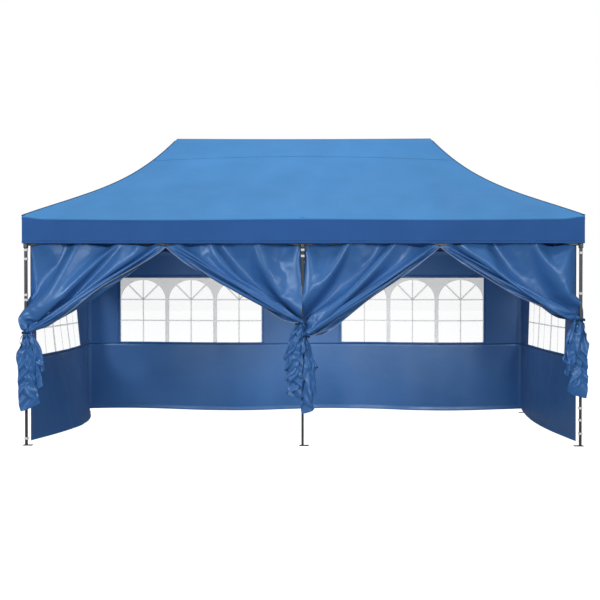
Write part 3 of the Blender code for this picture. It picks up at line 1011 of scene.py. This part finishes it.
def build_doors():
    """Hangs and ties the four halves, then makes each door of two of them, with its zips."""
    halves = {}
    for name, door in DOORS.items():
        near, far = door["side"] * WALL_LOW.x, door["side"] * WALL_HIGH.x
        zip_x = (near + far) / 2
        halves[name] = [
            add_half(f"{name}_{word}", leg_x, zip_x, door[word])
            for word, leg_x in (("inner", near), ("outer", far))
        ]
    settle([obj for pair in halves.values() for obj in pair])
    for name, pair in halves.items():
        trims = []
        for obj in pair:
            trims += zip_trims(obj.data)
            finish_half(obj)
        cloth = joined(f"{name}_cloth", pair)
        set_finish(cloth, "wall_polyester")
        trim = joined(f"{name}_zip", trims)
        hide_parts(name)
        for piece in (cloth, trim):
            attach(piece, "front_middle_leg")
            shorten(piece, "front_middle")
            below = [clamped((WALL_TOP - v.co.z) / HANGS_FROM_TRUSS) for v in piece.data.vertices]
            add_hook(piece, "outside", "back_middle_leg", [STEP_OUT * b for b in below])
            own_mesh(piece)


# ---- straps, ties and fittings


TOP_STRAP_Z = 2  # straps from here up stay in place, as the walls' top edges do
STRAPS = {  # heights on each leg
    "front_left": (2.085, 1.99, 1.606, 1.553, 0.600, 0.074),
    "front_middle": (2.085, 2.02, 1.60, 0.38),
    "front_right": (2.053, 1.622, 0.617, 0.404, 0.276, 0.133),
    "back_left": (2.02, 1.60, 1.12, 0.60, 0.10),
    "back_middle": (2.02, 1.60, 1.12, 0.60, 0.10),
    "back_right": (2.02, 1.60, 1.12, 0.60, 0.05),
}


def leg_straps():
    """White hook and loop straps that hold the walls to the legs. They go up with the walls' cloth."""
    half = TUBE / 2
    for leg, heights in STRAPS.items():
        for k, z in enumerate(heights):
            name = f"{leg}_strap_{k + 1}"
            strap = ring_block(name, (*AXIS[leg].xy, z), half + 0.0035, 0.025, half + 0.0006, "strap")
            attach(strap, f"{leg}_leg")
            if z < TOP_STRAP_Z:
                shorten(strap, leg, z)


def tie_bands():
    """A cloth band round each gathered bunch and its leg, with two short ends."""
    for name, door in DOORS.items():
        side = door["side"]
        for word, leg in (("inner", "front_middle"), ("outer", f"front_{'left' if side < 0 else 'right'}")):
            half = door[word]
            inwards = side if word == "inner" else -side
            centre = AXIS[leg] + Vector((inwards * 0.018, -0.022 - half["front"] / 2, half["tie"] - 0.012))
            loop = []
            for k in range(36):
                a = 2 * math.pi * k / 36
                wavy = Vector((0.060 * math.cos(a), 0.045 * math.sin(a), 0.004 * math.sin(3 * a)))
                loop.append(centre + wavy)
            strips = [ribbon("band", loop, 0.022, "seam", closed=True)]
            for k, lean in enumerate((-0.5, 0.35)):
                start = centre + Vector((0.02 * lean, -0.052, 0))
                path = []
                for m in range(14):
                    q = m / 13
                    sway = lean * 0.10 * math.sin(q * 2.4)
                    path.append(start + Vector((sway, -0.02 * math.sin(q * 3), -0.13 * q - 0.02 * k * q)))
                strips.append(ribbon("end", path, 0.014, "seam"))
            tie = joined(f"{name}_{word}_tie", strips)
            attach(tie, f"{leg}_leg")
            shorten(tie, leg, half["tie"])
            behind = leg.replace("front", "back")
            add_hook(tie, "outside", f"{behind}_leg", [STEP_OUT] * len(tie.data.vertices))


def ribbon(name, path, width, look, closed=False):
    """A flat upright strip along a path."""
    verts, faces = [], []
    for point in path:
        verts += [point - Vector((0, 0, width / 2)), point + Vector((0, 0, width / 2))]
    count = len(path)
    for i in range(count if closed else count - 1):
        j = (i + 1) % count
        faces.append((2 * i, 2 * j, 2 * j + 1, 2 * i + 1))
    obj = mesh_object(name, verts, faces, look)
    thick = obj.modifiers.new("thick", "SOLIDIFY")
    thick.thickness = 0.0014
    return applied(obj)


def bolt(name, centre, axis, radius, look="zinc"):
    """A domed bolt head or cap."""
    dome = [(radius, 0), (radius, 0.35), (radius * 0.86, 0.7), (radius * 0.5, 0.95), (0.0001, 1.0)]
    return turned(name, centre, [(r, h * radius * 0.6) for r, h in dome], 16, look, axis)


def leg_fittings():
    """Bolts and a cap on each bracket, a pull ring on each slider, a spring button and collar on each leg."""
    for leg in LEGS:
        x, y, _ = AXIS[leg]
        out = -1 if y < 0 else 1
        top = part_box(f"{leg}_upper_leg")[1].z
        heads = [bolt("head", (x, y + out * 0.021, top - d), (0, out, 0), 0.0065) for d in (0.018, 0.045)]
        heads.append(bolt("cap", (x, y, top), (0, 0, 1), 0.012, "plastic"))
        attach(joined(f"{leg}_bracket_bolts", heads), f"{leg}_leg")
        stem = [(x, y + out * reach, TRUSS_LOW_Z) for reach in (0.0208, 0.033)]
        middle = (x, y + out * 0.031, TRUSS_LOW_Z - 0.012)
        ring = [Vector(middle) + Vector((cos, 0, sin)) * 0.011 for cos, sin in around(20)]
        pull = [tube("stem", stem, 0.004, "zinc"), tube("ring", ring, 0.0014, "zinc", 6, closed=True)]
        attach(joined(f"{leg}_pull_pin", pull), f"{leg}_slider")
        button = bolt(f"{leg}_leg_button", (x, y + out * TUBE / 2, TUBE_END_Z + 0.072), (0, out, 0), 0.005)
        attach(button, f"{leg}_leg")
        low = (x, y, TUBE_END_Z - 0.0158)
        collar = ring_block(f"{leg}_tube_collar", low, 0.0180, 0.030, 0.0131, "plastic")
        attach(collar, f"{leg}_leg")


def ball_collar(name, centre, radius, hole, body):
    """A round collar on a peak pole that the ridge truss's upper end turns in."""
    profile = []
    for k in range(13):
        a = -math.pi / 2 + math.pi * k / 12
        profile.append((max(hole, radius * math.cos(a) ** 0.5), 0.018 * math.sin(a)))
    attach(turned(name, centre, profile, 24, "plastic"), body)


def inner_fittings():
    """Upper centre spool, the collars of the two poles and their caps."""
    top_joint = TRUSS_LOW_Z + TRUSS_DEPTH
    spool = tube("centre_upper_spool", [(-0.055, 0, top_joint), (0.055, 0, top_joint)], 0.017, "plastic", 20)
    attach(spool, "middle_truss_bar_4")
    for word, side in (("left", -1), ("right", 1)):
        ball_collar(f"{word}_pole_collar", (side * PEAK_X, 0, top_joint), 0.024, 0.0135,
                    f"{word}_ridge_truss_bar_1")
        cap = bolt(f"{word}_pole_cap", (side * PEAK_X, 0, POLE_HIGH.z - 0.010), (0, 0, 1), 0.0135, "plastic")
        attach(cap, f"{word}_peak_pole")


# ---- frame finishes, stage and camera


def finish_frame():
    for name, node in frame["nodes"].items():
        if "truss_bar" in name:
            look = "bar"
        elif name.endswith("_slider") or name == "centre_hub":
            look = "plastic"
        else:
            look = "steel"
        node.data.materials.clear()
        node.data.materials.append(MATERIAL[look])


def studio():
    """White surroundings, with lights overhead, behind, on both sides in front and under the roof."""
    scene = bpy.context.scene
    world = bpy.data.worlds.new("studio")
    world.use_nodes = True
    tree = world.node_tree
    soft = tree.nodes["Background"]
    plug(tree, soft, {"Color": (0.92, 0.96, 1, 1), "Strength": 0.17})
    white = add(tree, "ShaderNodeBackground", Strength=1.0, Color=(1, 1, 1, 1))
    seen = add(tree, "ShaderNodeLightPath")
    both = add(tree, "ShaderNodeMixShader")
    tree.links.new(seen.outputs["Is Camera Ray"], both.inputs[0])
    tree.links.new(soft.outputs["Background"], both.inputs[1])
    tree.links.new(white.outputs["Background"], both.inputs[2])
    tree.links.new(both.outputs["Shader"], tree.nodes["World Output"].inputs["Surface"])
    scene.world = world
    scene.view_settings.view_transform = "Standard"
    bpy.ops.mesh.primitive_plane_add(size=120, location=(0, 0, -0.001))
    floor = bpy.context.object
    floor.name = "floor"
    made, tree, shader = new_material("floor")
    plug(tree, shader, {
        "Base Color": (0.6, 0.6, 0.6, 1),
        "Roughness": 0.9,
        "Emission Color": (1, 1, 1, 1),
        "Emission Strength": 0.94,
    })
    floor.data.materials.append(made)
    floor.visible_diffuse = floor.visible_glossy = False
    area_light("top", (0, -1.0, 9.5), (0, 0, 2), 11.0, 620)
    area_light("back", (0, 9.0, 6.0), (0, 0, 2), 4.0, 120)
    area_light("front_left", (-5.4, -9.8, 4.4), (0, 0, 1.2), 1.7, 340)
    area_light("front_right", (3.6, -10.9, 3.2), (0, 0, 1.2), 2.2, 320)
    area_light("inside", (0.1, -1.2, 1.2), (0.2, 3, 1.1), 4.6, 14, tall=1.5, spread=100)


def area_light(name, place, aim, size, power, tall=None, spread=180):
    light = bpy.data.lights.new(name, "AREA")
    light.energy = power
    light.size = size
    light.spread = math.radians(spread)
    if tall:
        light.shape = "RECTANGLE"
        light.size_y = tall
    obj = bpy.data.objects.new(name, light)
    obj.location = place
    obj.rotation_euler = (Vector(aim) - Vector(place)).to_track_quat("-Z", "Y").to_euler()
    bpy.context.scene.collection.objects.link(obj)


def camera():
    """Level with a person's eyes, straight in front, as far off as the legs' perspective says."""
    lens = bpy.data.cameras.new("camera")
    lens.lens = 62.8
    obj = bpy.data.objects.new("camera", lens)
    obj.location = (0.089, -LEG_Y - 11.13, 1.702)
    obj.rotation_euler = (math.radians(90 - 0.77), 0, math.radians(0.6))
    bpy.context.scene.collection.objects.link(obj)
    bpy.context.scene.camera = obj


LID_LIFT = 0.030  # the slopes sink to this far above the eave's corners, clear of the leg caps
FRONT_SHARE = 0.99  # the front edge stops just short of the front legs' way back


def hub_drop():
    """How far the centre hub sinks as the frame folds, from the length of the truss bars."""
    depth, reach = TRUSS_DEPTH, (LEG_X - 2 * PIVOT_OUT) / 2
    fold = next(j for j in frame["joints"] if j["name"] == "frame_fold")
    tilt = math.atan2(depth, reach) + math.radians(max(fold["range_deg"]))
    return math.hypot(depth, reach) * math.sin(tilt) - depth


def fold_roof(obj):
    """The eave's front follows the front legs, and the slopes sink onto the folded bars as the hub drops."""
    drop = hub_drop()
    depth, peak = [], []
    for vert in obj.data.vertices:
        high = max(0, (vert.co.z - CORNER_Z - LID_LIFT) / drop)
        forward = min(FRONT_SHARE, max(0, (1 - vert.co.y / LEG_Y) / 2))
        peak.append(high)
        depth.append(max(0, forward - high / 2))
    add_hook(obj, "front", "front_middle_leg", depth)
    add_hook(obj, "ridge", "centre_hub", peak)


def build_roof():
    cover = roof_cover()
    seams = roof_seams()
    hem = valance_hem()
    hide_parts("roof_cover")
    for piece in (cover, seams, hem):
        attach(piece, "back_middle_leg")
        fold_roof(piece)
        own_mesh(piece)


camera()
finish_frame()
build_roof()
build_window_walls()
build_doors()
leg_straps()
tie_bands()
leg_fittings()
inner_fittings()
studio()
